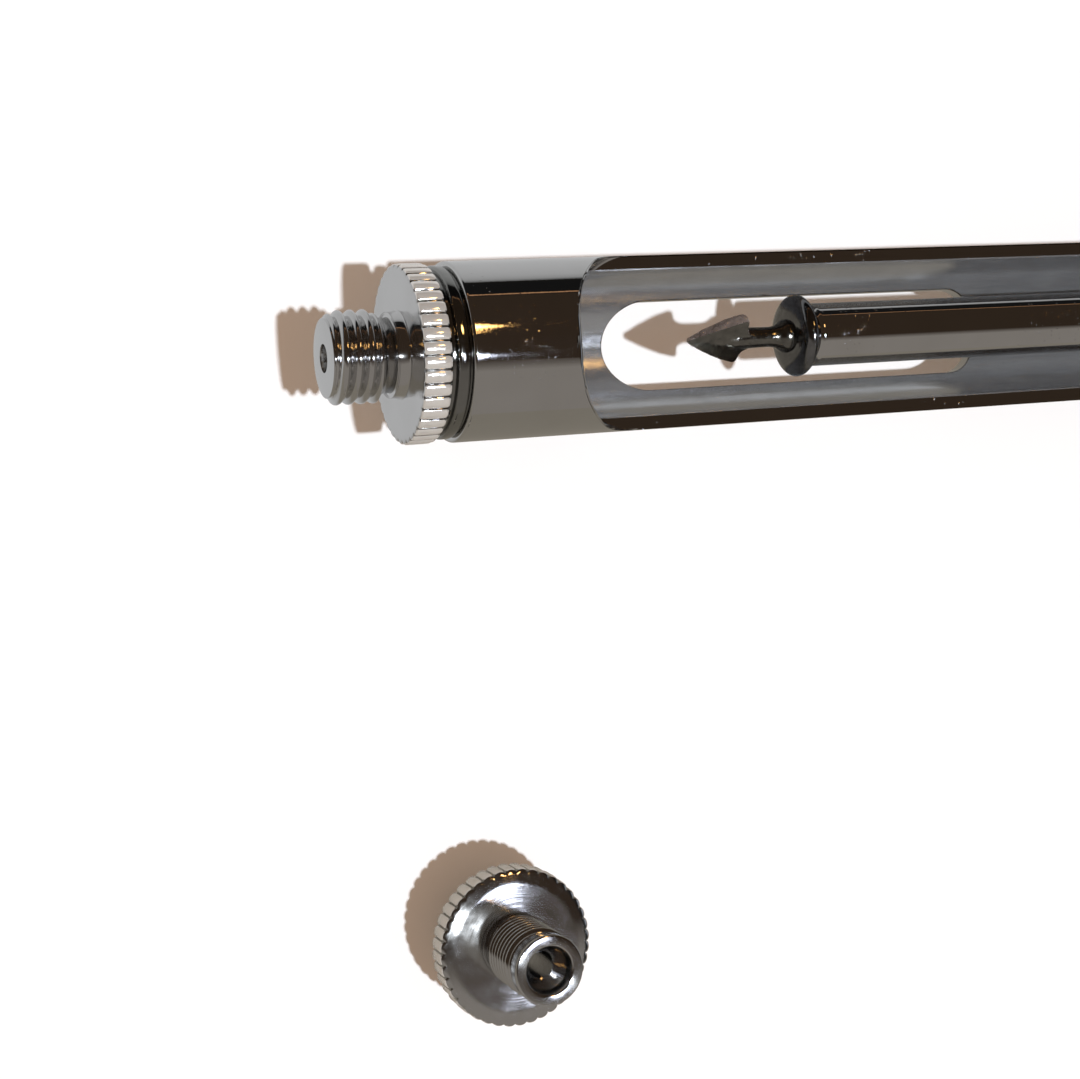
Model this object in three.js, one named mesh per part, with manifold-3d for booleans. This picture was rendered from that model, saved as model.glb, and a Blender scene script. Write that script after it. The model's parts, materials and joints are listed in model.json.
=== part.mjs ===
// A chrome dental cartridge syringe of the aspirating, side-loading kind, lying on a table with its loading
// window upwards, and its second needle adaptor standing on end beside it.
//
// Frame: millimetres, +X along the syringe from the needle end to the thumb ring, +Z up. The origin is on the
// table, under the middle of the finger grip. Inside the syringe group, X is counted from the front face of
// the nose bush. Pieces that touch on the real syringe keep FIT, a gap of 0.3 mm, between them.

import * as THREE from "three";
import { mergeVertices } from "three/addons/utils/BufferGeometryUtils.js";
import Module from "manifold-3d";

const wasm = await Module();
wasm.setup();

// ---- Driving dimensions ----

const FIT = 0.3; // gap between neighbouring pieces

// Needle adaptor: a threaded stem for the needle hub, a knurled flange, and a finer rear stem for the nose.
const NEEDLE_THREAD_D = 5.9; // about M6, for the needle hub
const NEEDLE_PITCH = 0.8;
const STEM_LENGTH = 4.8; // from the flange to the tip
const BOSS_D = 5.5; // step between the flange and the neck
const BOSS_LENGTH = 0.6;
const NECK_D = 4.7;
const NECK_LENGTH = 0.8;
const FLANGE_D = 11.4;
const FLANGE_THICK = 1.9;
const KNURL_TEETH = 40;
const KNURL_DEPTH = 0.28;
const RIM_CHAMFER = 0.45; // round the flange's rear face
const REAR_THREAD_D = 4.7;
const REAR_PITCH = 0.5;
const THREAD_DEPTH = 0.55; // of the pitch, for both threads
const REAR_STEM_LENGTH = 6.0;
const COLLAR_LENGTH = 1.1; // plain end of the rear stem
const NEEDLE_BORE_D = 1.7;
const COUNTERSINK_D = 3.1; // mouth of the bore at the rear

// Barrel tube. A cartridge of 8.65 mm and 64 mm slides in it.
const BARREL_D = 11.5;
const BARREL_BORE_D = 9.6;
const BARREL_FRONT = 1.2;
const BARREL_END = 93.0;
const WINDOW = [8.2, 74.0]; // the loading window, from end to end
const WINDOW_FLOOR = 0.5; // height of the window's long edges above the axis
const WINDOW_CORNER_R = 4.9;
const SLOT = [13.9, 44.2]; // the sight slot under the axis
const SLOT_WIDTH = 6.1;
const SEAT_D = 10.6; // the turned-down rear that the grip and its nut sit on
const SEAT_FRONT = 80.0;

// Nose bush: closes the tube's front and takes the adaptor's rear stem.
const SHOULDER_D = 11.0;
const BUSH_END = 6.8;

// Plunger.
const ROD_D = 4.3;
const HARPOON_TIP = 18.1;
const HARPOON_LENGTH = 4.0; // the arrow head alone
const HARPOON_WIDTH = 3.9;
const HARPOON_THICK = 1.3; // of the flat head at its barbs
const HARPOON_SHANK_D = 1.45;
const HARPOON_ROLL = 45; // how far the flat head is turned about the axis, in degrees
const HEAD = [25.6, 27.1];
const HEAD_D = 5.6;
const ROD = [27.4, 108.0];
const SHANK_END = 32.0; // the harpoon screws into the rod this far
const SHANK_D = 1.6;

// Spring-loaded guide bearing that holds the cartridge forward. The plunger's head draws back into its cup.
const GUIDE = [71.2, 83.6];
const GUIDE_CUP_D = 6.8;
const GUIDE_CUP_DEPTH = 10.0;
const GUIDE_TRAVEL = 4.2;
const STOP_SCREW_X = 79.2;
const STOP_SCREW_D = 1.4;
const SPRING = [83.9, 90.6];
const SPRING_COILS = 3.6;
const SPRING_MEAN_D = 6.8;
const SPRING_WIRE_D = 0.6;
const WASHER = [90.9, 91.4];
const WASHER_D = 8.9;

// Rear end: cap, bush, friction ring and gland nut round the rod.
const CAP_PLUG = [91.7, 93.3];
const CAP_END = 97.0;
const CAP_D = 12.0;
const CAP_BORE_D = 7.0; // holds the rod bush
const ROD_BUSH = [92.0, 94.0];
const ROD_BUSH_D = 6.4;
const O_RING_X = 95.4;
const O_RING_WIRE_D = 1.2;
const GLAND = [96.3, 97.6];
const GLAND_D = 8.0;
const GLAND_SEAT_D = 8.6;
const GLAND_HOLE_D = 0.9; // for a pin spanner
const GLAND_HOLE_REACH = 3.1; // from the axis

// Finger grip and its ring nut.
const GRIP = [80.6, 86.2];
const GRIP_X = 83.4; // the grip's middle, which is the frame's X = 0
const GRIP_HALF_SPAN = 27.0;
const GRIP_HALF_HEIGHT = 9.0; // also the height of the syringe's axis above the table
const RING_NUT = [86.5, 89.9];
const RING_NUT_D = 12.6;
const RING_NUT_FLUTES = 18;
const RING_NUT_FLUTE_D = 1.2;

// Thumb end.
const BUMPER = [104.0, 105.4];
const BUMPER_D = 6.6;
const FERRULE = [105.7, 112.2];
const FERRULE_D = 6.8;
const PIN_X = 107.0;
const PIN_D = 0.9;
const SWIVEL_NUT = [112.5, 114.2];
const SWIVEL_NUT_D = 7.2;
const SWIVEL_NUT_FLUTES = 12;
const SWIVEL_NUT_FLUTE_D = 1.0;
const THUMB_RING_BOSS = 114.5;
const THUMB_RING_BOSS_D = 5.8;
const THUMB_RING_NECK_D = 3.4;
const THUMB_RING_MEAN_R = 11.6;
const THUMB_RING_WIRE_D = 3.6;
const THUMB_RING_X = 128.2;
const STUD_D = 3.0;
const STUD_COLLAR_D = 4.2; // the swivel nut holds the stud by this collar
const STUD_COLLAR_END = 110.2;

// The second adaptor stands on its needle stem beside the barrel. Its flange is a little smaller.
const SPARE_X = 3.8;
const SPARE_Y = -39.6;
const SPARE_FLANGE_D = 10.7;

const SIDES = 30; // facets round a turned piece
const FINE_SIDES = 20; // and round a small one

// ---- Materials ----

function metal(color, roughness) {
  return new THREE.MeshStandardMaterial({ color, roughness, metalness: 1 });
}

const CHROME = metal(0xc9ccce, 0.08);
const SATIN_CHROME = metal(0xb4b7ba, 0.3);
const DARK_STEEL = metal(0x6f7072, 0.38);
const SPRING_STEEL = metal(0x9c9ea0, 0.3);
const BRASS = metal(0xb89a5a, 0.3);
const RUBBER = new THREE.MeshStandardMaterial({ color: 0x1c1c1e, roughness: 0.8, metalness: 0 });

// ---- Solids ----

// A closed geometry as a manifold-3d solid. Triangles that collapse on the axis are left out.
function solidOf(geometry) {
  const bare = new THREE.BufferGeometry().setAttribute("position", geometry.getAttribute("position"));
  if (geometry.index) bare.setIndex(geometry.index);
  const merged = mergeVertices(bare, 1e-4);
  const corners = merged.index.array;
  const kept = [];
  for (let i = 0; i < corners.length; i += 3) {
    const [a, b, c] = corners.slice(i, i + 3);
    if (a !== b && b !== c && c !== a) kept.push(a, b, c);
  }
  return new wasm.Manifold(
    new wasm.Mesh({
      numProp: 3,
      vertProperties: merged.attributes.position.array,
      triVerts: new Uint32Array(kept),
    }),
  );
}

function geometryOf(solid) {
  const mesh = solid.getMesh();
  const stride = mesh.numProp;
  const positions = new Float32Array(mesh.numVert * 3);
  for (let i = 0; i < mesh.numVert; i++) {
    positions.set(mesh.vertProperties.subarray(i * stride, i * stride + 3), i * 3);
  }
  return new THREE.BufferGeometry()
    .setAttribute("position", new THREE.BufferAttribute(positions, 3))
    .setIndex(new THREE.BufferAttribute(new Uint32Array(mesh.triVerts), 1));
}

// Turned on the X axis from [x, radius] points that run rearwards along the outside, axis to axis.
function turned(section, sides = SIDES) {
  const points = section.map(([x, r]) => new THREE.Vector2(r, x));
  return solidOf(new THREE.LatheGeometry(points, sides).rotateZ(-Math.PI / 2));
}

// A plain cylinder on the X axis.
function rod(from, to, diameter, sides = SIDES) {
  return turned([[from, 0], [from, diameter / 2], [to, diameter / 2], [to, 0]], sides);
}

// A cylinder with bevelled ends on the X axis.
function bevelled(from, to, diameter, bevel, sides = SIDES) {
  const r = diameter / 2;
  const start = [[from, 0], [from, r - bevel], [from + bevel, r]];
  const end = [[to - bevel, r], [to, r - bevel], [to, 0]];
  return turned([...start, ...end], sides);
}

// A flat shape in X and Y, given thickness from low to high along Z.
function slab(shape, low, high, curveSegments = 8) {
  const options = { depth: high - low, bevelEnabled: false, curveSegments };
  return solidOf(new THREE.ExtrudeGeometry(shape, options).translate(0, 0, low));
}

// A small upright cylinder, for screw holes, screws and pins.
function upright(x, diameter, low, high) {
  const shape = new THREE.Shape().absarc(x, 0, diameter / 2, 0, 2 * Math.PI);
  return slab(shape, low, high);
}

// A rectangle with rounded corners, from x0 to x1 and of the given half width.
function roundedBar(x0, x1, halfWidth, radius) {
  const shape = new THREE.Shape();
  shape.absarc(x0 + radius, halfWidth - radius, radius, Math.PI, Math.PI / 2, true);
  shape.absarc(x1 - radius, halfWidth - radius, radius, Math.PI / 2, 0, true);
  shape.absarc(x1 - radius, radius - halfWidth, radius, 0, -Math.PI / 2, true);
  shape.absarc(x0 + radius, radius - halfWidth, radius, -Math.PI / 2, -Math.PI, true);
  return shape;
}

// ---- Needle adaptor ----

// Thread crests and roots, as [x, radius] points from one end to the other.
function threadSection(from, to, diameter, pitch) {
  const crest = diameter / 2;
  const root = crest - THREAD_DEPTH * pitch;
  const turns = Math.floor((to - from) / pitch);
  const start = from + (to - from - turns * pitch) / 2;
  const section = [[from, root]];
  for (let i = 0; i < turns; i++) {
    const x = start + i * pitch;
    section.push([x + 0.4 * pitch, crest], [x + 0.6 * pitch, crest], [x + pitch, root]);
  }
  section.push([to, root]);
  return section;
}

// The knurled flange: straight teeth round its edge, cut off at a chamfer on its rear face.
function knurledFlange(front, back, diameter) {
  const crest = diameter / 2;
  const root = crest - KNURL_DEPTH;
  const toothSection = [[0, root], [0.3, crest], [0.7, crest]];
  const shape = new THREE.Shape();
  for (let i = 0; i < KNURL_TEETH; i++) {
    for (const [share, radius] of toothSection) {
      const angle = ((i + share) / KNURL_TEETH) * 2 * Math.PI;
      const corner = [radius * Math.cos(angle), radius * Math.sin(angle)];
      if (i + share === 0) shape.moveTo(...corner);
      else shape.lineTo(...corner);
    }
  }
  const geometry = new THREE.ExtrudeGeometry(shape, { depth: back - front, bevelEnabled: false });
  const teeth = solidOf(geometry.rotateY(Math.PI / 2).translate(front, 0, 0));
  const clearOfTeeth = crest + 0.2;
  const blank = turned([
    [front - 1, 0],
    [front - 1, clearOfTeeth],
    [back - RIM_CHAMFER, clearOfTeeth],
    [back - RIM_CHAMFER, crest],
    [back, crest - RIM_CHAMFER],
    [back + 1, crest - RIM_CHAMFER],
    [back + 1, 0],
  ], FINE_SIDES);
  return teeth.intersect(blank);
}

// An adaptor, with its flange's rear face a fit in front of the nose bush.
function adaptor(flangeD) {
  const back = -FIT;
  const face = back - FLANGE_THICK;
  const tip = face - STEM_LENGTH;
  const neckFront = face - BOSS_LENGTH - NECK_LENGTH;
  const tipRounding = 0.5;
  const stem = turned([
    [tip, 0],
    [tip, NEEDLE_THREAD_D / 2 - tipRounding],
    ...threadSection(tip + 0.1, neckFront, NEEDLE_THREAD_D, NEEDLE_PITCH),
    [neckFront, NECK_D / 2],
    [neckFront + NECK_LENGTH, NECK_D / 2],
    [neckFront + NECK_LENGTH, BOSS_D / 2],
    [face + 0.5, BOSS_D / 2],
    [face + 0.5, 0],
  ], FINE_SIDES);
  const end = back + REAR_STEM_LENGTH;
  const collar = end - COLLAR_LENGTH;
  const undercut = 0.45;
  const countersinkDepth = 1.0;
  const collarR = REAR_THREAD_D / 2 - 0.05;
  const rootR = REAR_THREAD_D / 2 - THREAD_DEPTH * REAR_PITCH;
  const rearStem = turned([
    [back - 0.5, 0],
    [back - 0.5, rootR],
    ...threadSection(back + undercut, collar - undercut, REAR_THREAD_D, REAR_PITCH),
    [collar, rootR],
    [collar, collarR],
    [end - 0.2, collarR],
    [end, collarR - 0.2],
    [end, 0],
  ], 16);
  const bore = turned([
    [tip - 1, 0],
    [tip - 1, NEEDLE_BORE_D / 2],
    [end - countersinkDepth, NEEDLE_BORE_D / 2],
    [end, COUNTERSINK_D / 2],
    [end + 1, COUNTERSINK_D / 2],
    [end + 1, 0],
  ], 12);
  return knurledFlange(face, back, flangeD).add(stem).add(rearStem).subtract(bore);
}

// ---- Barrel ----

// A plug in the tube's front, with a rounded shoulder that stands ahead of the tube.
function noseBush() {
  const shoulderR = SHOULDER_D / 2;
  const plugR = BARREL_BORE_D / 2 - FIT;
  const shoulderEnd = BARREL_FRONT - FIT;
  const body = turned([
    [0, 0],
    [0, shoulderR - 0.5],
    [0.15, shoulderR - 0.15],
    [0.45, shoulderR],
    [shoulderEnd, shoulderR],
    [shoulderEnd, plugR],
    [BUSH_END - 0.4, plugR],
    [BUSH_END, plugR - 0.4],
    [BUSH_END, 0],
  ]);
  return body.subtract(rod(-1, BUSH_END + 1, REAR_THREAD_D + 2 * FIT, FINE_SIDES));
}

function barrel() {
  const frontBevel = 0.25;
  const tube = turned([
    [BARREL_FRONT, 0],
    [BARREL_FRONT, BARREL_D / 2 - frontBevel],
    [BARREL_FRONT + frontBevel, BARREL_D / 2],
    [SEAT_FRONT, BARREL_D / 2],
    [SEAT_FRONT, SEAT_D / 2],
    [BARREL_END, SEAT_D / 2],
    [BARREL_END, 0],
  ], 48);
  const bore = rod(BARREL_FRONT - 1, BARREL_END + 1, BARREL_BORE_D, 48);
  const loading = roundedBar(WINDOW[0], WINDOW[1], BARREL_D / 2 + 0.05, WINDOW_CORNER_R);
  const sight = roundedBar(SLOT[0], SLOT[1], SLOT_WIDTH / 2, SLOT_WIDTH / 2 - 0.01);
  return tube
    .subtract(bore)
    .subtract(slab(loading, WINDOW_FLOOR, BARREL_D))
    .subtract(slab(sight, -BARREL_D, 0, 12))
    .subtract(upright(STOP_SCREW_X, STOP_SCREW_D + 2 * FIT, 2, BARREL_D));
}

// ---- Cartridge guide and spring ----

// The guide runs in the barrel. A slot in its top takes the stop screw and sets its travel.
function guideBearing() {
  const [front, back] = GUIDE;
  const r = BARREL_BORE_D / 2 - FIT;
  const bevel = 0.4;
  const body = turned([[front, 0], [front, r - bevel], [front + bevel, r], [back, r], [back, 0]]);
  const half = STOP_SCREW_D / 2 + FIT;
  const slot = roundedBar(STOP_SCREW_X - half - GUIDE_TRAVEL, STOP_SCREW_X + half, half, half - 0.01);
  return body
    .subtract(rod(front - 1, front + GUIDE_CUP_DEPTH, GUIDE_CUP_D, 24))
    .subtract(rod(front, back + 1, ROD_D + 2 * FIT, FINE_SIDES))
    .subtract(slab(slot, 1, BARREL_D, 4));
}

function stopScrew() {
  const shank = upright(STOP_SCREW_X, STOP_SCREW_D, GUIDE_CUP_D / 2 + 0.3, BARREL_D / 2 - 0.1);
  const slotWidth = 0.4;
  const slot = roundedBar(STOP_SCREW_X - 2, STOP_SCREW_X + 2, slotWidth / 2, slotWidth / 4);
  return shank.subtract(slab(slot, BARREL_D / 2 - 0.5, BARREL_D));
}

class SpringLine extends THREE.Curve {
  getPoint(t) {
    const angle = t * SPRING_COILS * 2 * Math.PI;
    const rise = SPRING[1] - SPRING[0] - SPRING_WIRE_D;
    const x = SPRING[0] + SPRING_WIRE_D / 2 + t * rise;
    return new THREE.Vector3(x, (SPRING_MEAN_D / 2) * Math.cos(angle), (SPRING_MEAN_D / 2) * Math.sin(angle));
  }
}

function returnSpring() {
  const wire = new THREE.Shape();
  const corners = 6;
  for (let i = 0; i < corners; i++) {
    const angle = (i / corners) * 2 * Math.PI;
    const corner = [(SPRING_WIRE_D / 2) * Math.cos(angle), (SPRING_WIRE_D / 2) * Math.sin(angle)];
    if (i === 0) wire.moveTo(...corner);
    else wire.lineTo(...corner);
  }
  const stepsPerCoil = 14;
  const steps = Math.round(SPRING_COILS * stepsPerCoil);
  const options = { steps, extrudePath: new SpringLine(), bevelEnabled: false };
  return solidOf(new THREE.ExtrudeGeometry(wire, options));
}

// A flat ring on the X axis.
function washer([from, to], outer, inner, bevel = 0.1) {
  return bevelled(from, to, outer, bevel).subtract(rod(from - 1, to + 1, inner, FINE_SIDES));
}

// ---- Rear end ----

function endCap() {
  const plugR = BARREL_BORE_D / 2 - FIT;
  const body = turned([
    [CAP_PLUG[0], 0],
    [CAP_PLUG[0], plugR],
    [CAP_PLUG[1], plugR],
    [CAP_PLUG[1], CAP_D / 2 - 0.2],
    [CAP_PLUG[1] + 0.2, CAP_D / 2],
    [CAP_END - 0.5, CAP_D / 2],
    [CAP_END, CAP_D / 2 - 0.5],
    [CAP_END, 0],
  ]);
  const seat = O_RING_X - O_RING_WIRE_D / 2 - FIT;
  const bore = turned([
    [CAP_PLUG[0] - 1, 0],
    [CAP_PLUG[0] - 1, CAP_BORE_D / 2],
    [ROD_BUSH[1] + FIT, CAP_BORE_D / 2],
    [ROD_BUSH[1] + FIT, ROD_D / 2 + FIT],
    [seat, ROD_D / 2 + FIT],
    [seat, GLAND_SEAT_D / 2],
    [CAP_END + 1, GLAND_SEAT_D / 2],
    [CAP_END + 1, 0],
  ], 24);
  return body.subtract(bore);
}

function oRing() {
  const wireR = O_RING_WIRE_D / 2;
  const torus = new THREE.TorusGeometry(ROD_D / 2 + FIT + wireR, wireR, 8, 24);
  return solidOf(torus.rotateY(Math.PI / 2).translate(O_RING_X, 0, 0));
}

// The gland nut closes on the friction ring, with two holes for a pin spanner.
function glandNut() {
  const nut = washer(GLAND, GLAND_D, ROD_D + 2 * FIT);
  const depth = 0.7;
  const hole = rod(GLAND[1] - depth, GLAND[1] + 1, GLAND_HOLE_D, 12);
  return nut
    .subtract(hole.translate([0, GLAND_HOLE_REACH, 0]))
    .subtract(hole.translate([0, -GLAND_HOLE_REACH, 0]));
}

// ---- Finger grip ----

// Two wings whose front edges are hollowed for the fingers. The underside is flat, so the syringe lies level.
function fingerGrip() {
  const front = GRIP[0];
  const back = GRIP[1];
  const hubHalf = 8.2;
  const span = GRIP_HALF_SPAN;
  const plan = new THREE.Shape();
  plan.moveTo(front, -hubHalf);
  plan.lineTo(front, hubHalf);
  plan.bezierCurveTo(front + 2.6, hubHalf + 3, front + 3.0, span - 9, front - 1.6, span - 0.6);
  plan.quadraticCurveTo(front - 0.6, span + 0.2, front + 0.8, span - 0.4);
  plan.bezierCurveTo(back + 0.6, span - 8, back, hubHalf + 5, back, hubHalf - 1.5);
  plan.lineTo(back, 1.5 - hubHalf);
  plan.bezierCurveTo(back, -hubHalf - 5, back + 0.6, 8 - span, front + 0.8, 0.4 - span);
  plan.quadraticCurveTo(front - 0.6, -span - 0.2, front - 1.6, 0.6 - span);
  plan.bezierCurveTo(front + 3.0, 9 - span, front + 2.6, -hubHalf - 3, front, -hubHalf);
  const bar = slab(plan, -GRIP_HALF_HEIGHT, GRIP_HALF_HEIGHT, 9);
  // Seen along the axis, the wings end in half circles.
  const end = roundedBar(-span, span, GRIP_HALF_HEIGHT, GRIP_HALF_HEIGHT - 0.01);
  const outline = new THREE.ExtrudeGeometry(end, { depth: 30, bevelEnabled: false, curveSegments: 8 });
  const sleeve = solidOf(outline.rotateX(Math.PI / 2).rotateZ(Math.PI / 2).translate(GRIP_X - 15, 0, 0));
  return bar.intersect(sleeve).subtract(rod(front - 5, back + 5, SEAT_D + 2 * FIT));
}

// A ring with shallow grip flutes, for the nuts.
function flutedRing([from, to], outer, inner, flutes, fluteD) {
  let ring = washer([from, to], outer, inner, 0.25);
  for (let i = 0; i < flutes; i++) {
    const angle = (i / flutes) * 2 * Math.PI;
    const reach = outer / 2 + fluteD * 0.3;
    const flute = rod(from - 1, to + 1, fluteD, 8);
    ring = ring.subtract(flute.translate([0, reach * Math.cos(angle), reach * Math.sin(angle)]));
  }
  return ring;
}

function gripRingNut() {
  return flutedRing(RING_NUT, RING_NUT_D, SEAT_D + 2 * FIT, RING_NUT_FLUTES, RING_NUT_FLUTE_D);
}

function swivelNut() {
  return flutedRing(SWIVEL_NUT, SWIVEL_NUT_D, STUD_D + 2 * FIT, SWIVEL_NUT_FLUTES, SWIVEL_NUT_FLUTE_D);
}

// ---- Plunger ----

// A barbed arrow head cut from a flat, thinner towards its point, on a shank that screws into the rod.
function harpoon() {
  const tip = HARPOON_TIP;
  const barbs = tip + HARPOON_LENGTH;
  const half = HARPOON_WIDTH / 2;
  const shankR = HARPOON_SHANK_D / 2;
  const root = barbs + 0.5; // where the barbs' rear edges have run into the shank
  const arrow = new THREE.Shape();
  arrow.moveTo(tip, 0);
  arrow.quadraticCurveTo(tip + 1.9, half * 0.7, barbs - 0.4, half);
  arrow.quadraticCurveTo(barbs, half, barbs, half - 0.3);
  arrow.quadraticCurveTo(barbs, shankR, root, shankR - 0.1);
  arrow.lineTo(root, 0.1 - shankR);
  arrow.quadraticCurveTo(barbs, -shankR, barbs, 0.3 - half);
  arrow.quadraticCurveTo(barbs, -half, barbs - 0.4, -half);
  arrow.quadraticCurveTo(tip + 1.9, -half * 0.7, tip, 0);
  const thick = HARPOON_THICK / 2;
  const wedge = new THREE.Shape();
  wedge.moveTo(tip - 0.1, -0.15);
  wedge.lineTo(tip - 0.1, 0.15);
  wedge.quadraticCurveTo(tip + 1.2, thick, barbs - 0.8, thick);
  wedge.lineTo(root + 0.1, thick);
  wedge.lineTo(root + 0.1, -thick);
  wedge.lineTo(barbs - 0.8, -thick);
  wedge.quadraticCurveTo(tip + 1.2, -thick, tip - 0.1, -0.15);
  const side = slab(wedge, -half - 1, half + 1).rotate([90, 0, 0]);
  const head = slab(arrow, -1, 1).intersect(side);
  const stem = turned([
    [barbs - 1.9, 0],
    [barbs - 1.6, shankR],
    [HEAD[0] - 1.0, shankR],
    [HEAD[0] - FIT, 1.1],
    [HEAD[0] - FIT, SHANK_D / 2],
    [SHANK_END - 0.2, SHANK_D / 2],
    [SHANK_END, SHANK_D / 2 - 0.2],
    [SHANK_END, 0],
  ], 16);
  return head.add(stem).rotate([HARPOON_ROLL, 0, 0]);
}

// A mushroom whose faces both round off towards its rim.
function pistonHead() {
  const [front, back] = HEAD;
  const r = HEAD_D / 2;
  const half = (back - front) / 2;
  const rim = [[1, 0.5], [0.75, 0.78], [0.35, 0.95], [0, 1], [-0.35, 0.95], [-0.75, 0.78], [-1, 0.5]];
  const disc = turned([
    [front, 0],
    ...rim.map(([depth, share]) => [front + half * (1 - depth), r * share]),
    [back, 0],
  ], 24);
  return disc.subtract(rod(front - 1, back + 1, SHANK_D + 2 * FIT, 12));
}

function pistonRod() {
  const tapped = rod(ROD[0] - 1, SHANK_END + FIT, SHANK_D + 2 * FIT, 12);
  const crossHole = upright(PIN_X, PIN_D + 2 * FIT, -ROD_D, ROD_D);
  return bevelled(ROD[0], ROD[1], ROD_D, 0.25, 24).subtract(tapped).subtract(crossHole);
}

function ferrule() {
  const [front, back] = FERRULE;
  const r = FERRULE_D / 2;
  const body = turned([
    [front, 0],
    [front, r - 0.5],
    [front + 0.5, r],
    [back - 2.2, r],
    [back - 1.9, r - 0.35],
    [back - 1.5, r - 0.35],
    [back - 1.2, r],
    [back - 0.3, r],
    [back, r - 0.3],
    [back, 0],
  ], 24);
  return body
    .subtract(rod(front - 1, back + 1, ROD_D + 2 * FIT, FINE_SIDES))
    .subtract(upright(PIN_X, PIN_D + 2 * FIT, -FERRULE_D, FERRULE_D));
}

// The ring lies flat when the syringe does. Its stud turns in the ferrule, held in by a collar.
function thumbRing() {
  const wireR = THUMB_RING_WIRE_D / 2;
  const torus = new THREE.TorusGeometry(THUMB_RING_MEAN_R, wireR, 10, 40).translate(THUMB_RING_X, 0, 0);
  const neckEnd = THUMB_RING_X - THUMB_RING_MEAN_R;
  const neck = turned([
    [ROD[1] + FIT, 0],
    [ROD[1] + FIT, STUD_COLLAR_D / 2],
    [STUD_COLLAR_END, STUD_COLLAR_D / 2],
    [STUD_COLLAR_END, STUD_D / 2],
    [THUMB_RING_BOSS, STUD_D / 2],
    [THUMB_RING_BOSS, THUMB_RING_BOSS_D / 2],
    [THUMB_RING_BOSS + 0.9, THUMB_RING_BOSS_D / 2],
    [neckEnd, THUMB_RING_NECK_D / 2],
    [neckEnd, 0],
  ], 16);
  return solidOf(torus).add(neck);
}

// ---- Assembly ----

function piece(name, solid, material) {
  const mesh = new THREE.Mesh(geometryOf(solid), material);
  mesh.name = name;
  return mesh;
}

const syringe = new THREE.Group();
syringe.position.set(-GRIP_X, 0, GRIP_HALF_HEIGHT);
syringe.add(
  piece("needle_adaptor", adaptor(FLANGE_D), CHROME),
  piece("nose_bush", noseBush(), CHROME),
  piece("barrel", barrel(), CHROME),
  piece("guide_bearing", guideBearing(), CHROME),
  piece("guide_stop_screw", stopScrew(), SATIN_CHROME),
  piece("return_spring", returnSpring(), SPRING_STEEL),
  piece("spring_washer", washer(WASHER, WASHER_D, ROD_D + 2 * FIT), SPRING_STEEL),
  piece("finger_grip", fingerGrip(), CHROME),
  piece("grip_ring_nut", gripRingNut(), CHROME),
  piece("end_cap", endCap(), CHROME),
  piece("rod_bush", washer(ROD_BUSH, ROD_BUSH_D, ROD_D + 2 * FIT), BRASS),
  piece("rod_o_ring", oRing(), RUBBER),
  piece("gland_nut", glandNut(), SATIN_CHROME),
  piece("harpoon", harpoon(), DARK_STEEL),
  piece("piston_head", pistonHead(), DARK_STEEL),
  piece("piston_rod", pistonRod(), CHROME),
  piece("bumper_ring", washer(BUMPER, BUMPER_D, ROD_D + 2 * FIT, 0.3), RUBBER),
  piece("ring_ferrule", ferrule(), CHROME),
  piece("ferrule_pin", upright(PIN_X, PIN_D, -FERRULE_D / 2, FERRULE_D / 2), SATIN_CHROME),
  piece("swivel_nut", swivelNut(), CHROME),
  piece("thumb_ring", thumbRing(), CHROME),
);

const spare = new THREE.Group();
spare.position.set(SPARE_X - GRIP_X, SPARE_Y, FIT + FLANGE_THICK + STEM_LENGTH);
spare.rotation.y = -Math.PI / 2; // its rear stem points up
spare.add(piece("spare_adaptor", adaptor(SPARE_FLANGE_D), CHROME));

const part = new THREE.Group();
part.add(syringe, spare);

export default part;
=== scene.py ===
"""Looks for a chrome dental cartridge syringe that lies on a pale table, and for its loose second adaptor.

Every piece is built again at a fine resolution in the place that its CAD node holds. Lengths are in
millimetres until Shape.build turns them into metres. Turned pieces are described by (x, radius) points
along the syringe's axis.
"""

import json
import math

import bmesh
import bpy
from mathutils import Matrix, Vector, noise
from mathutils.geometry import delaunay_2d_cdt


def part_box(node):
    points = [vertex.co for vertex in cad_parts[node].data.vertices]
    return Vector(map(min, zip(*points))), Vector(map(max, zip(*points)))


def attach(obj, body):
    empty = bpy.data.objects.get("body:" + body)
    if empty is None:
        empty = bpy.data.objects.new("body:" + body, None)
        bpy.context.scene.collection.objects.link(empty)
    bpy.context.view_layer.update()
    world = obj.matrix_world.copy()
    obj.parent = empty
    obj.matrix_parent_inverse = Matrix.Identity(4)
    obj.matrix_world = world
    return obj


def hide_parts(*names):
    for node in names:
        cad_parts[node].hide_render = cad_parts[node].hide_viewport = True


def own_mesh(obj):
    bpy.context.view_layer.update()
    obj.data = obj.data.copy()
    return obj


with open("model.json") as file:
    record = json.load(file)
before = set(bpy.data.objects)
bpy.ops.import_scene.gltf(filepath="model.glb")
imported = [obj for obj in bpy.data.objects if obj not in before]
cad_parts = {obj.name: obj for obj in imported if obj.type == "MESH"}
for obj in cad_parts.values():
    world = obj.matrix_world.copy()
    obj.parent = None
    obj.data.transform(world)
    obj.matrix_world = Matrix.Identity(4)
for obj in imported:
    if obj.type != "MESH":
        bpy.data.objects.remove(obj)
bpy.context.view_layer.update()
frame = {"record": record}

MM = 0.001
TAU = 2 * math.pi
CAMERA_AT = Vector((-118.55, -5.78, 116.75))
CAMERA_LOOKS = Vector((0.3603, -0.0573, -0.9311))
CAMERA_ROLL = math.radians(-3.9)
CAMERA_LENS = 59.2


def span(node):
    """The node's box in millimetres: its lowest and its highest corner."""
    low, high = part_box(node)
    return Vector(low) / MM, Vector(high) / MM


def ends(node):
    """Where a node starts and ends along the syringe."""
    low, high = span(node)
    return low.x, high.x


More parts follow.
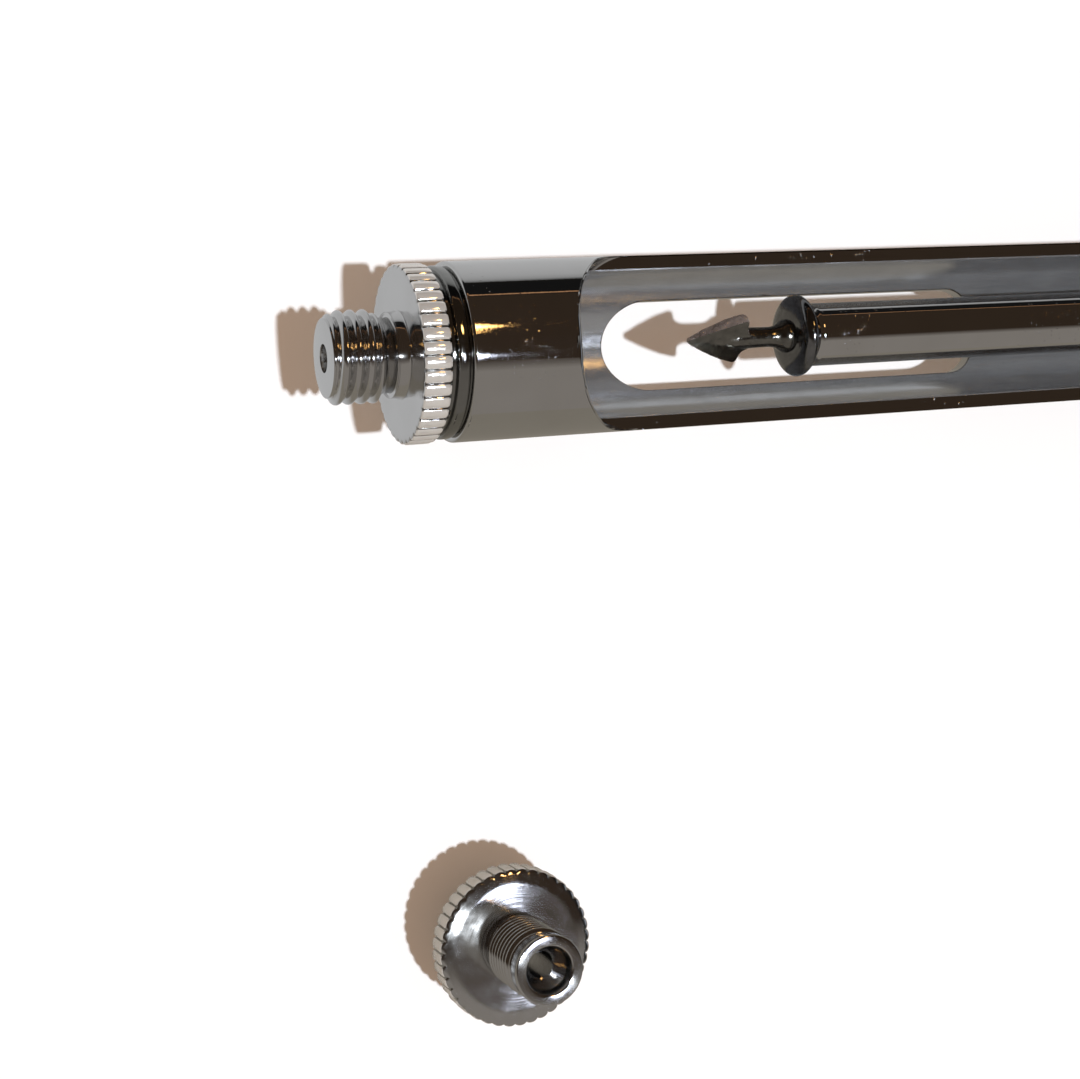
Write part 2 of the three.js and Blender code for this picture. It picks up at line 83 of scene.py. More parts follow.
def centre(node):
    """The middle of the node's box."""
    low, high = span(node)
    return (low + high) / 2


AXIS_Z = centre("piston_rod").z
BODY_OF = {
    node: body for body, nodes in frame["record"]["behaviour"]["bodies"].items() for node in nodes
}


# ---- Shapes ----


class Shape:
    """Collects closed surfaces, in millimetres, and makes one object of them."""

    def __init__(self):
        self.points = []
        self.faces = []

    def add(self, points, faces):
        first = len(self.points)
        self.points.extend(points)
        self.faces.extend([first + i for i in face] for face in faces)

    def spin(self, rows, sides, closed=False):
        """Adds rows of (x, radius) turned about the X axis. A radius may depend on the angle."""
        points, starts = [], []
        for x, radius in rows:
            starts.append((len(points), radius == 0))
            if radius == 0:
                points.append((x, 0.0, 0.0))
                continue
            for i in range(sides):
                angle = TAU * i / sides
                r = radius(angle) if callable(radius) else radius
                points.append((x, r * math.cos(angle), r * math.sin(angle)))
        faces = []
        pairs = list(zip(starts, starts[1:]))
        if closed:
            pairs.append((starts[-1], starts[0]))
        for (a, a_pole), (b, b_pole) in pairs:
            for i in range(sides):
                j = (i + 1) % sides
                if a_pole and not b_pole:
                    faces.append((a, b + j, b + i))
                elif b_pole and not a_pole:
                    faces.append((a + i, a + j, b))
                elif not a_pole:
                    faces.append((a + i, a + j, b + j, b + i))
        self.add(points, faces)

    def build(self, name, place=Matrix()):
        """Makes the object, with its faces pointing out."""
        mesh = bpy.data.meshes.new(name)
        mesh.from_pydata([place @ Vector(p) * MM for p in self.points], [], self.faces)
        piece = bpy.data.objects.new(name, mesh)
        bpy.context.collection.objects.link(piece)
        face_outwards(piece)
        return piece


def face_outwards(piece):
    """Turns every face so that its normal points out of the solid."""
    work = bmesh.new()
    work.from_mesh(piece.data)
    bmesh.ops.recalc_face_normals(work, faces=work.faces)
    work.to_mesh(piece.data)
    work.free()


def filleted(points, steps=5):
    """Turns (x, radius, fillet) corners into short curves. Points without a fillet stay as they are."""
    result = []
    for i, point in enumerate(points):
        x, r, *fillet = point
        if not fillet:
            result.append((x, r))
            continue
        here = Vector((x, r))
        before = Vector(points[i - 1][:2])
        after = Vector(points[(i + 1) % len(points)][:2])
        start = here + (before - here).normalized() * fillet[0]
        end = here + (after - here).normalized() * fillet[0]
        for k in range(steps + 1):
            t = k / steps
            spot = start * (1 - t) ** 2 + here * 2 * t * (1 - t) + end * t**2
            result.append((spot.x, spot.y))
    return result


def smooth(piece, sharp_angle=35):
    """Shades the piece smooth except at sharp edges, with large faces keeping flat."""
    piece.data.shade_smooth()
    work = bmesh.new()
    work.from_mesh(piece.data)
    limit = math.radians(sharp_angle)
    for edge in work.edges:
        edge.smooth = len(edge.link_faces) == 2 and edge.calc_face_angle(0) < limit
    work.to_mesh(piece.data)
    work.free()
    weighted = piece.modifiers.new("weighted", "WEIGHTED_NORMAL")
    weighted.keep_sharp = True
    weighted.weight = 80


def bevel(piece, width, angle, segments):
    """Rounds the edges that bend more than an angle in degrees."""
    rounded = piece.modifiers.new("bevel", "BEVEL")
    rounded.width = width * MM
    rounded.segments = segments
    rounded.limit_method = "ANGLE"
    rounded.angle_limit = math.radians(angle)
    apply_modifiers(piece)


def apply_modifiers(piece):
    """Makes what the modifiers show the object's own mesh."""
    evaluated = piece.evaluated_get(bpy.context.evaluated_depsgraph_get())
    mesh = bpy.data.meshes.new_from_object(evaluated)
    piece.modifiers.clear()
    piece.data = mesh


def boolean(piece, tool, operation):
    """Cuts, joins or intersects with another object, and removes that object."""
    cut = piece.modifiers.new("boolean", "BOOLEAN")
    cut.operation = operation
    cut.solver = "EXACT"
    cut.object = tool
    bpy.context.view_layer.update()
    apply_modifiers(piece)
    bpy.data.objects.remove(tool)


def extruded(name, outline, low, high, place=Matrix()):
    """A flat outline in X and Y, given thickness along Z."""
    count = len(outline)
    shape = Shape()
    points = [(x, y, low) for x, y in outline] + [(x, y, high) for x, y in outline]
    walls = [(i, (i + 1) % count, count + (i + 1) % count, count + i) for i in range(count)]
    shape.add(points, [tuple(range(count)), tuple(range(count, 2 * count)), *walls])
    return shape.build(name, place)


def arc(cx, cy, radius, start, end, steps):
    """Points on an arc about (cx, cy), its angles in degrees."""
    return [
        (cx + radius * math.cos(a), cy + radius * math.sin(a))
        for a in (math.radians(start + (end - start) * k / steps) for k in range(steps + 1))
    ]


def rounded_bar(x0, x1, half_width, radius, steps):
    """The outline of a bar along X with round corners."""
    return (
        arc(x0 + radius, half_width - radius, radius, 180, 90, steps)
        + arc(x1 - radius, half_width - radius, radius, 90, 0, steps)
        + arc(x1 - radius, radius - half_width, radius, 0, -90, steps)
        + arc(x0 + radius, radius - half_width, radius, -90, -180, steps)
    )


def bezier(a, b, c, d, steps):
    """Points along a cubic curve, without its first."""
    result = []
    for k in range(1, steps + 1):
        t = k / steps
        weights = ((1 - t) ** 3, 3 * t * (1 - t) ** 2, 3 * t * t * (1 - t), t**3)
        result.append(tuple(
            sum(weight * point[i] for weight, point in zip(weights, (a, b, c, d))) for i in (0, 1)
        ))
    return result


def along_axis(x=0.0):
    """Puts a shape whose axis is X on the syringe's axis."""
    return Matrix.Translation((x, 0, AXIS_Z))


def turned(name, profile, sides, start):
    """A piece turned from a profile that starts and ends on the axis, or closes on itself."""
    shape = Shape()
    rows = filleted(profile)
    shape.spin(rows, sides, closed=rows[0][1] != 0)
    piece = shape.build(name, along_axis(start))
    smooth(piece)
    return piece


def ring(x0, x1, inner, outer, fillet):
    """The profile of a plain ring, with smaller fillets on the inside where the wall is thin."""
    inside = min(fillet, (outer - inner) / 4)
    return [(x0, outer, fillet), (x1, outer, fillet), (x1, inner, inside), (x0, inner, inside)]


# ---- Materials ----


class Graph:
    """A node tree, with short ways to add nodes."""

    def __init__(self, tree):
        self.tree = tree

    def new(self, kind, **settings):
        node = self.tree.nodes.new(kind)
        for key, value in settings.items():
            setattr(node, key, value)
        return node

    def link(self, a, b):
        self.tree.links.new(a, b)

    def feed(self, socket, value):
        """Gives a socket a number, a colour or another node's output."""
        if isinstance(value, tuple):
            socket.default_value = (*value, 1)
        elif isinstance(value, (int, float)):
            socket.default_value = value
        else:
            self.link(value, socket)

    def ramp(self, value, low, high, start=0.0, end=1.0):
        """Maps a value from one range to another, held at the ends."""
        node = self.new("ShaderNodeMapRange", clamp=True)
        limits = {"From Min": start, "From Max": end, "To Min": low, "To Max": high}
        for socket, number in limits.items():
            node.inputs[socket].default_value = number
        self.link(value, node.inputs["Value"])
        return node.outputs["Result"]

    def math(self, operation, a, b):
        """A sum on two numbers or outputs. An operation on one number ignores the second."""
        node = self.new("ShaderNodeMath", operation=operation)
        self.feed(node.inputs[0], a)
        self.feed(node.inputs[1], b)
        return node.outputs[0]

    def mix(self, share, a, b, blend="MIX"):
        """A colour between two, by a share from 0 to 1."""
        node = self.new("ShaderNodeMix", data_type="RGBA", blend_type=blend)
        self.feed(node.inputs["Factor"], share)
        self.feed(node.inputs["A"], a)
        self.feed(node.inputs["B"], b)
        return node.outputs["Result"]


class Nodes(Graph):
    """A new material's tree, with what the surfaces here need."""

    def __init__(self, name):
        self.material = bpy.data.materials.new(name)
        self.material.use_nodes = True
        super().__init__(self.material.node_tree)
        self.shader = self.tree.nodes["Principled BSDF"]
        self.place = self.new("ShaderNodeTexCoord").outputs["Object"]

    def set(self, socket, value):
        """Gives one of the shader's sockets a number or another node's output."""
        self.feed(self.shader.inputs[socket], value)

    def vector(self, operation, a, b=None):
        """Vector maths on an output and, for some operations, a fixed vector."""
        node = self.new("ShaderNodeVectorMath", operation=operation)
        self.link(a, node.inputs[0])
        if b is not None:
            node.inputs[1].default_value = b
        return node.outputs["Value" if operation == "LENGTH" else "Vector"]

    def noise(self, per_mm, detail=3.0, roughness=0.5, stretch=(1, 1, 1)):
        """Soft noise of a given fineness. A stretch below 1 draws it out along that axis."""
        scaled = self.new("ShaderNodeMapping")
        scaled.inputs["Scale"].default_value = stretch
        self.link(self.place, scaled.inputs["Vector"])
        texture = self.new("ShaderNodeTexNoise")
        texture.inputs["Scale"].default_value = per_mm / MM
        texture.inputs["Detail"].default_value = detail
        texture.inputs["Roughness"].default_value = roughness
        self.link(scaled.outputs["Vector"], texture.inputs["Vector"])
        return texture.outputs["Fac"]

    def pits(self, per_mm, size):
        """Small separate specks: 1 in a speck and 0 between them."""
        cells = self.new("ShaderNodeTexVoronoi")
        cells.inputs["Scale"].default_value = per_mm / MM
        self.link(self.place, cells.inputs["Vector"])
        return self.ramp(cells.outputs["Distance"], 1, 0, size * 0.6, size)

    def bump(self, height, depth_mm, strength=1.0, over=None):
        """Relief of a given depth, on top of another bump if there is one."""
        node = self.new("ShaderNodeBump")
        node.inputs["Strength"].default_value = strength
        node.inputs["Distance"].default_value = depth_mm * MM
        self.link(height, node.inputs["Height"])
        if over is not None:
            self.link(over, node.inputs["Normal"])
        return node.outputs["Normal"]


def polished_chrome(name):
    """Bright plating: long soft waves in the metal under it, fine specks and faint smears."""
    n = Nodes(name)
    n.set("Metallic", 1)
    n.set("Base Color", n.mix(n.noise(0.25), (0.58, 0.575, 0.565), (0.66, 0.66, 0.66)))
    patches = n.ramp(n.noise(0.16, 2), 0, 1, 0.48, 0.62)
    specks = n.math("MULTIPLY", n.pits(2.6, 0.16), patches)
    smears = n.ramp(n.noise(0.7, 5, 0.6), 0.02, 0.06, 0.35, 0.75)
    n.set("Roughness", n.math("ADD", smears, n.math("MULTIPLY", specks, 0.15)))
    waves = n.bump(n.noise(0.30, 1.0), 0.004)
    fine = n.bump(n.noise(5, 2), 0.0007, over=waves)
    n.set("Normal", n.bump(specks, 0.012, 0.7, over=fine))
    return n.material


def turned_chrome(name, axis_at):
    """Plating over a turned face. Fine rings about the piece's own axis blur reflections across them.

    The axis passes through axis_at. It lies along X where that is 0, and along Z otherwise.
    """
    along_x = axis_at[0] == 0
    n = Nodes(name)
    n.set("Metallic", 1)
    n.set("Base Color", n.mix(n.noise(0.3), (0.57, 0.565, 0.56), (0.66, 0.66, 0.66)))
    flat = n.vector("MULTIPLY", n.vector("SUBTRACT", n.place, axis_at), (0, 1, 1) if along_x else (1, 1, 0))
    # The tangent leans a little along the axis, so that the teeth and stems have one too.
    tangent = n.vector("ADD", n.vector("NORMALIZE", flat), (0.5, 0, 0) if along_x else (0, 0, 0.5))
    n.set("Tangent", tangent)
    n.set("Anisotropic", 0.85)
    rings = n.new("ShaderNodeTexNoise", noise_dimensions="1D")
    rings.inputs["Scale"].default_value = 5 / MM
    rings.inputs["Detail"].default_value = 4
    n.link(n.vector("LENGTH", flat), rings.inputs["W"])
    n.set("Roughness", n.ramp(n.noise(1.2, 4), 0.08, 0.14, 0.3, 0.7))
    ringed = n.bump(rings.outputs["Fac"], 0.0035)
    n.set("Normal", n.bump(n.noise(3, 3), 0.0008, over=ringed))
    return n.material


def dull_bore_metal(name):
    """The unpolished plating inside the tube: bluish, soft and faintly drawn along the tube."""
    n = Nodes(name)
    n.set("Metallic", 0.8)
    n.set("Base Color", n.mix(n.noise(0.5, 4), (0.40, 0.41, 0.425), (0.53, 0.54, 0.555)))
    lines = n.noise(2.2, 4, 0.6, stretch=(0.12, 1, 1))
    n.set("Roughness", n.ramp(lines, 0.12, 0.26, 0.3, 0.7))
    drawn = n.bump(lines, 0.005)
    n.set("Normal", n.bump(n.noise(0.9, 4), 0.012, over=drawn))
    return n.material


def dark_steel(name, dark, light, roughness, depth, metallic=1.0):
    """Burnished steel with pits and tool marks."""
    n = Nodes(name)
    n.set("Metallic", metallic)
    n.set("Base Color", n.mix(n.noise(1.6, 5, 0.6), dark, light))
    n.set("Roughness", n.ramp(n.noise(2.4, 5, 0.6), *roughness, 0.3, 0.7))
    rough = n.bump(n.noise(2.6, 5, 0.6), depth)
    n.set("Normal", n.bump(n.pits(3.0, 0.2), 0.01, 0.6, over=rough))
    return n.material


def plain_metal(name, dark, light, roughness, metallic=1.0):
    """Drawn or turned metal of one tone with fine grain."""
    n = Nodes(name)
    n.set("Metallic", metallic)
    n.set("Base Color", n.mix(n.noise(0.8, 4), dark, light))
    n.set("Roughness", n.ramp(n.noise(4, 4), *roughness, 0.3, 0.7))
    n.set("Normal", n.bump(n.noise(8, 3), 0.001))
    return n.material


def black_rubber(name):
    """Dull black rubber with a fine grain."""
    n = Nodes(name)
    n.set("Base Color", n.mix(n.noise(1.5, 4), (0.012, 0.012, 0.013), (0.035, 0.034, 0.033)))
    n.set("Roughness", n.ramp(n.noise(4, 3), 0.5, 0.75))
    n.set("Normal", n.bump(n.noise(12, 3), 0.003))
    return n.material


CHROME = polished_chrome("polished_chrome")
ADAPTOR_CHROME = turned_chrome("turned_chrome_adaptor", (0, 0, AXIS_Z * MM))
KNURL_CHROME = plain_metal("knurl_chrome", (0.80, 0.79, 0.76), (0.92, 0.91, 0.88), (0.10, 0.2), 0.6)
BORE_METAL = dull_bore_metal("dull_bore_metal")
# The nose bush's metal is painted dark: its low tone stands in for the shade and dark reflections in the
# hollow between the flange and the tube.
BUSH_PAINTED_DARK = plain_metal("bush_painted_dark", (0.24, 0.24, 0.23), (0.34, 0.34, 0.33), (0.04, 0.10))
HARPOON_STEEL = dark_steel(
    "harpoon_steel", (0.10, 0.098, 0.088), (0.34, 0.33, 0.30), (0.08, 0.24), 0.010
)
SAWN_STEEL = dark_steel(
    "sawn_steel", (0.12, 0.09, 0.08), (0.70, 0.62, 0.59), (0.20, 0.42), 0.04, 0.75
)
HEAD_STEEL = dark_steel(
    "head_steel", (0.12, 0.122, 0.126), (0.30, 0.303, 0.31), (0.06, 0.16), 0.004
)
SATIN = plain_metal("satin_chrome", (0.50, 0.50, 0.50), (0.62, 0.62, 0.62), (0.18, 0.3))
SPRING_STEEL = plain_metal("spring_steel", (0.38, 0.38, 0.39), (0.52, 0.52, 0.53), (0.16, 0.28))
BRASS = plain_metal("turned_brass", (0.55, 0.42, 0.18), (0.68, 0.54, 0.27), (0.2, 0.3))
RUBBER = black_rubber("black_rubber")


def settle(piece, node, *materials):
    """Gives a finished piece its materials and lets it stand for its CAD node."""
    for material in materials:
        piece.data.materials.append(material)
    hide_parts(node)
    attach(piece, BODY_OF[node])


# ---- Needle adaptors ----

# The clearance that the CAD leaves between neighbours.
FIT = 0.3
FLANGE_R = 5.7
SPARE_FLANGE_R = 5.35
FLANGE_THICK = 1.9
NEEDLE_STEM = 4.8
NOSE_STEM = 6.0
KNURL_TEETH = 40
KNURL_DEPTH = 0.22
BORE_R = 0.85


def thread_rows(x0, x1, pitch, crest, depth):
    """Rows of a right-handed thread that fades out at both ends."""
    per_turn = 18
    fade_length = 0.45 * pitch
    count = round((x1 - x0) / pitch * per_turn)
    rows = []
    for i in range(count + 1):
        x = x0 + (x1 - x0) * i / count
        fade = min(1, (x - x0) / fade_length, (x1 - x) / fade_length)

        def radius(angle, x=x, fade=fade):
            tooth = abs(math.sin(math.pi * (x / pitch + angle / TAU))) ** 0.85
            return crest - depth * (1 - fade * tooth)

        rows.append((x, radius))
    return rows


def knurl(flange_r, drop=0.0):
    """A row round the flange's edge: round-topped teeth with narrow valleys, set in by a drop."""

    def radius(angle):
        tooth = abs(math.cos(KNURL_TEETH * angle / 2)) ** 0.42
        return flange_r - drop - KNURL_DEPTH * (1 - tooth)

    return radius


def flange_rows(face, back, flange_r):
    """A flat ring with a knurled edge. Its front corner is small. Its rear face has a shallow outer ring."""
    root = flange_r - KNURL_DEPTH
    hidden = 2.0
    return [
        (face, hidden),
        (face, root - 0.23),
        (face, root - 0.12),
        (face + 0.02, knurl(flange_r, 0.10)),
        (face + 0.07, knurl(flange_r, 0.03)),
        (face + 0.14, knurl(flange_r)),
        (back - 0.62, knurl(flange_r)),
        (back - 0.26, knurl(flange_r, 0.02)),
        (back - 0.15, knurl(flange_r, 0.08)),
        (back - 0.09, root - 0.12),
        (back - 0.05, root - 0.22),
        (back - 0.02, flange_r - 0.78),
        (back, flange_r - 0.84),
        (back, flange_r - 1.2),
        (back, hidden),
    ]


def core_rows(tip, face, back, end):
    """The two threaded stems and the bore through them, from the tip to the rear and back inside."""
    needle_thread = {"pitch": 0.8, "crest": 2.95, "depth": 0.46}
    nose_thread = {"pitch": 0.5, "crest": 2.34, "depth": 0.27}
    neck = face - 1.4
    collar = end - 1.1
    mouth_r = BORE_R + 0.05
    outside = [
        *filleted([(tip, mouth_r), (tip, 2.5, 0.08), (tip + 0.12, 2.52)], 4),
        *thread_rows(tip + 0.12, neck, **needle_thread),
        *filleted([(neck + 0.1, 2.4), (face - 0.62, 2.35, 0.1), (face - 0.6, 2.75, 0.12)], 4),
        (face - 0.1, 2.75),
        (face - 0.02, 2.85),
        (face + 0.4, 2.85),
        (face + 0.6, 2.1),
        (back - 0.4, 2.0),
        (back + 0.02, 2.05),
        (back + 0.38, 2.02),
        *thread_rows(back + 0.4, collar - 0.45, **nose_thread),
        *filleted([(collar - 0.4, 2.0), (collar - 0.05, 1.98, 0.08), (collar, 2.3, 0.12)], 4),
        *filleted([(end - 0.3, 2.3), (end, 2.3, 0.14), (end, 1.58, 0.1), (end - 0.9, 1.35, 0.3)]),
    ]
    inside = filleted([(end - 1.5, BORE_R, 0.3), (tip + 0.25, BORE_R), (tip, mouth_r)], 4)
    return outside + inside


def paint_knurl(piece, place, face, back, flange_r):
    """Gives the crests of the flange's teeth the second material, except for their rear ends."""
    home = place.inverted()
    crest_from = flange_r - 0.55 * KNURL_DEPTH
    for polygon in piece.data.polygons:
        spot = home @ (polygon.center / MM)
        on_crest = math.hypot(spot.y, spot.z) > crest_from
        polygon.material_index = int(on_crest and face < spot.x < back - 0.2)


def adaptor(node, chrome, place, flange_r):
    """An adaptor along X. Its flange's rear face is FIT ahead of x = 0."""
    back = -FIT
    face = back - FLANGE_THICK
    shape = Shape()
    shape.spin(flange_rows(face, back, flange_r), KNURL_TEETH * 12, closed=True)
    shape.spin(core_rows(face - NEEDLE_STEM, face, back, back + NOSE_STEM), 144, closed=True)
    piece = shape.build(node + "_fine", place)
    smooth(piece, 50)
    settle(piece, node, chrome, KNURL_CHROME)
    paint_knurl(piece, place, face, back, flange_r)


nose_x = ends("nose_bush")[0]
adaptor("needle_adaptor", ADAPTOR_CHROME, along_axis(nose_x), FLANGE_R)

# The spare stands upright on the tip of its needle stem.
ON_END = Matrix.Rotation(-math.pi / 2, 4, "Y")
spare_middle = centre("spare_adaptor")
spare_seat = span("spare_adaptor")[0].z + NEEDLE_STEM + FLANGE_THICK + FIT
spare_place = Matrix.Translation((spare_middle.x, spare_middle.y, spare_seat)) @ ON_END
SPARE_CHROME = turned_chrome("turned_chrome_spare", (spare_middle.x * MM, spare_middle.y * MM, 0))
adaptor("spare_adaptor", SPARE_CHROME, spare_place, SPARE_FLANGE_R)


# ---- Barrel ----

BARREL_R = 5.75
BARREL_BORE_R = 4.8
# How far behind the nose the window and the sight slot start and end.
WINDOW = (8.2, 74.0)
SLOT = (13.9, 44.2)
WINDOW_HALF = BARREL_R + 0.05
WINDOW_CORNER_R = 4.9
SLOT_HALF = 3.05
SCREW_X = centre("guide_stop_screw").x
# How far a piece reaches into the clearance to the one that it touches.
GAP = FIT - 0.02


def nose_bush():
    """A plug with a bulging shoulder that fills the room between the flange and the tube."""
    shoulder, plug, hole = 5.5, BARREL_BORE_R - 0.02, 2.65
    seam = ends("barrel")[0] - GAP - nose_x
    length = ends("nose_bush")[1] - nose_x
    return turned("nose_bush_fine", [
        (-GAP, hole, 0.1),
        (-GAP, shoulder - 0.42, 0.1),
        (-0.04, shoulder - 0.40, 0.05),
        (0.0, shoulder, 0.26),
        (seam - 0.14, shoulder, 0.24),
        (seam - 0.08, shoulder - 0.3, 0.05),
        (seam, shoulder - 0.3),
        (seam, plug),
        (length, plug, 0.4),
        (length, hole, 0.2),
    ], 192, nose_x)


def window_tool(outline, window):
    """The loading window's cutter. It flares where it leaves the tube, which rounds the window's edge."""
    rounding, hollow, floor_z, top_z = 0.42, 1.5, 0.5, 9.0
    # The rounding fades out where the tube's wall is lower than this above the floor.
    full_height = 1.6
    overcut = 1.02
    middle = sum(window) / 2
    straight = (window[1] - window[0]) / 2 - WINDOW_CORNER_R

    def outwards(x, y):
        """The outline's direction at a point, away from the window."""
        along = math.copysign(max(0.0, abs(x - middle) - straight), x - middle)
        across = math.copysign(max(0.0, abs(y) - (WINDOW_HALF - WINDOW_CORNER_R)), y)
        reach = math.hypot(along, across)
        return along / reach, across / reach

    def inset(x, z):
        """How far the window's end lies inside its outline at a height: a quarter round at the floor."""
        if abs(x - middle) <= straight:
            return 0.0
        rise = min(1.0, (z - floor_z) / hollow)
        return math.copysign(hollow * (1 - math.sqrt(1 - (1 - rise) ** 2)), middle - x)

    shape = Shape()
    steps, least = 6, 0.01
    rows = []
    for x, y in outline:
        out = outwards(x, y)
        surface = math.sqrt(max(0.0, BARREL_R**2 - y * y))
        r = rounding * max(0.0, min(1.0, (surface - floor_z) / full_height))
        wall_top = max(floor_z + steps * least, min(floor_z + hollow, surface - r))
        levels = [(floor_z + (wall_top - floor_z) * k / steps, 0.0) for k in range(steps + 1)]
        for k in range(steps + 1):
            a = math.pi / 2 * k / steps
            z = max(levels[-1][0] + least, surface - r + r * math.sin(a))
            levels.append((z, r * (1 - math.cos(a))))
        levels.append((top_z, r * overcut))
        rows.append([(x + inset(x, z) + out[0] * grow, y + out[1] * grow, z) for z, grow in levels])
    count, height = len(rows), len(rows[0])
    points = [p for column in rows for p in column]
    faces = []
    for i in range(count):
        here, there = i * height, (i + 1) % count * height
        faces += [(here + k, there + k, there + k + 1, here + k + 1) for k in range(height - 1)]
    faces.append(tuple(i * height for i in range(count)))
    faces.append(tuple(i * height + height - 1 for i in range(count)))
    shape.add(points, faces)
    return shape.build("window_tool", along_axis())


def barrel():
    """The tube with its loading window, sight slot and screw hole, its cut edges rounded."""
    front, back = ends("barrel")
    front -= GAP
    back += GAP
    seat_front = ends("finger_grip")[0] + 1.0
    seat_r = 5.3
    shape = Shape()
    outside = filleted([
        (front, BARREL_R, 0.22),
        (seat_front, BARREL_R, 0.15),
        (seat_front, seat_r),
        (back, seat_r, 0.15),
        (back, BARREL_BORE_R, 0.1),
        (front, BARREL_BORE_R, 0.1),
    ])
    shape.spin(outside, 240, closed=True)
    piece = shape.build("barrel_fine", along_axis())
    window = [nose_x + x for x in WINDOW]
    slot = [nose_x + x for x in SLOT]
    outline = rounded_bar(*window, WINDOW_HALF, WINDOW_CORNER_R, 28)
    sight = rounded_bar(*slot, SLOT_HALF, SLOT_HALF - 0.001, 40)
    screw_hole_r = 0.95
    hole = arc(SCREW_X, 0, screw_hole_r, 0, 345, 23)
    boolean(piece, window_tool(outline, window), "DIFFERENCE")
    boolean(piece, extruded("slot_tool", sight, AXIS_Z - 9, AXIS_Z), "DIFFERENCE")
    boolean(piece, extruded("hole_tool", hole, AXIS_Z + 2, AXIS_Z + 9), "DIFFERENCE")
    return piece


def is_radial(face):
    """Whether a barrel face belongs to the tube's inner or outer surface."""
    middle = face.calc_center_median()
    outwards = Vector((0, middle.y, middle.z - AXIS_Z * MM))
    least_cosine = 0.985
    return abs(face.normal.dot(outwards.normalized())) > least_cosine


def round_cut_edges(piece, width):
    """Bevels the edges that the window, slot and screw hole leave."""
    work = bmesh.new()
    work.from_mesh(piece.data)
    bmesh.ops.remove_doubles(work, verts=work.verts, dist=0.015 * MM)
    # The edges at the tube's own ends stay as they are.
    front, back = ends("barrel")
    front, back = (front + 0.8) * MM, (back - 8) * MM
    sharp = math.radians(28)
    edges = []
    for edge in work.edges:
        middle = (edge.verts[0].co + edge.verts[1].co) / 2
        if not front < middle.x < back or len(edge.link_faces) != 2:
            continue
        kinds = [is_radial(face) for face in edge.link_faces]
        if kinds.count(True) == 1 and edge.calc_face_angle(0) > sharp:
            edges.append(edge)
    bmesh.ops.bevel(work, geom=edges, offset=width * MM, segments=2, affect="EDGES")
    work.to_mesh(piece.data)
    work.free()


def paint_bore(piece):
    """Gives the faces on the inside of the tube the second material."""
    for face in piece.data.polygons:
        outwards = Vector((0, face.center.y, face.center.z - AXIS_Z * MM))
        inside = outwards.length < (BARREL_BORE_R + 0.05) * MM
        face.material_index = int(inside and face.normal.dot(outwards) < 0)


# The nose bush gets the metal that is painted dark for the shade between the flange and the tube.
settle(nose_bush(), "nose_bush", BUSH_PAINTED_DARK)
barrel_piece = barrel()
round_cut_edges(barrel_piece, 0.09)
smooth(barrel_piece, 32)
settle(barrel_piece, "barrel", CHROME, BORE_METAL)
paint_bore(barrel_piece)


# ---- Inside the barrel ----

ROD_R = 2.15


def guide_bearing():
    """A cup for the cartridge's rear end, with a slot in which the stop screw holds it."""
    x0, x1 = ends("guide_bearing")
    length = x1 - x0
    cup_depth, cup_r, r = 10.0, 3.4, 4.5
    piece = turned("guide_bearing_fine", [
        (0, cup_r, 0.3),
        (0, r, 0.4),
        (length, r, 0.2),
        (length, ROD_R + FIT, 0.2),
        (cup_depth, ROD_R + FIT, 0.2),
        (cup_depth, cup_r, 0.2),
    ], 128, x0)
    piece.modifiers.clear()
    travel, half = 4.2, 1.0
    key = rounded_bar(SCREW_X - travel - half, SCREW_X + half, half, half - 0.01, 12)
    boolean(piece, extruded("key_tool", key, AXIS_Z + 1, AXIS_Z + 9), "DIFFERENCE")
    smooth(piece, 32)
    return piece


def upright_pin(node, low_fillet, high_fillet, sides):
    """A plain pin that stands across the syringe's axis."""
    low, high = span(node)
    r = (high.x - low.x) / 2
    shape = Shape()
    profile = [(low.z, 0), (low.z, r, low_fillet), (high.z, r, high_fillet), (high.z, 0)]
    shape.spin(filleted(profile), sides)
    return shape.build(node + "_fine", Matrix.Translation((centre(node).x, 0, 0)) @ ON_END)


def stop_screw():
    """The screw through the barrel's wall, with a slot for a driver."""
    piece = upright_pin("guide_stop_screw", 0.15, 0.12, 64)
    top = span("guide_stop_screw")[1].z
    slot = rounded_bar(SCREW_X - 2, SCREW_X + 2, 0.2, 0.1, 4)
    boolean(piece, extruded("driver_slot", slot, top - 0.4, top + 1), "DIFFERENCE")
    smooth(piece, 30)
    return piece


def return_spring():
    """A compression spring: a round wire swept along a helix."""
    x0, x1 = ends("return_spring")
    wire, mean_r, turns, steps = 0.3, 3.4, 3.6, 260
    shape = Shape()
    around = 14
    points = []
    for i in range(steps + 1):
        t = i / steps
        angle = t * turns * TAU
        x = x0 + wire + t * (x1 - x0 - 2 * wire)
        for k in range(around):
            a = TAU * k / around
            reach = mean_r + wire * math.cos(a)
            points.append((x + wire * math.sin(a), reach * math.cos(angle), reach * math.sin(angle)))
    faces = []
    for i in range(steps):
        for k in range(around):
            j = (k + 1) % around
            a, b = i * around, (i + 1) * around
            faces.append((a + k, a + j, b + j, b + k))
    faces.append(tuple(range(around)))
    faces.append(tuple(steps * around + k for k in range(around)))
    shape.add(points, faces)
    piece = shape.build("return_spring_fine", along_axis())
    smooth(piece, 40)
    return piece


def washer(node, inner, fillet, sides=96):
    """A plain ring as long and as wide as its node."""
    low, high = span(node)
    outer = (high.z - low.z) / 2
    return turned(node + "_fine", ring(0, high.x - low.x, inner, outer, fillet), sides, low.x)


settle(guide_bearing(), "guide_bearing", CHROME)
settle(stop_screw(), "guide_stop_screw", SATIN)
spring = return_spring()
settle(spring, "return_spring", SPRING_STEEL)
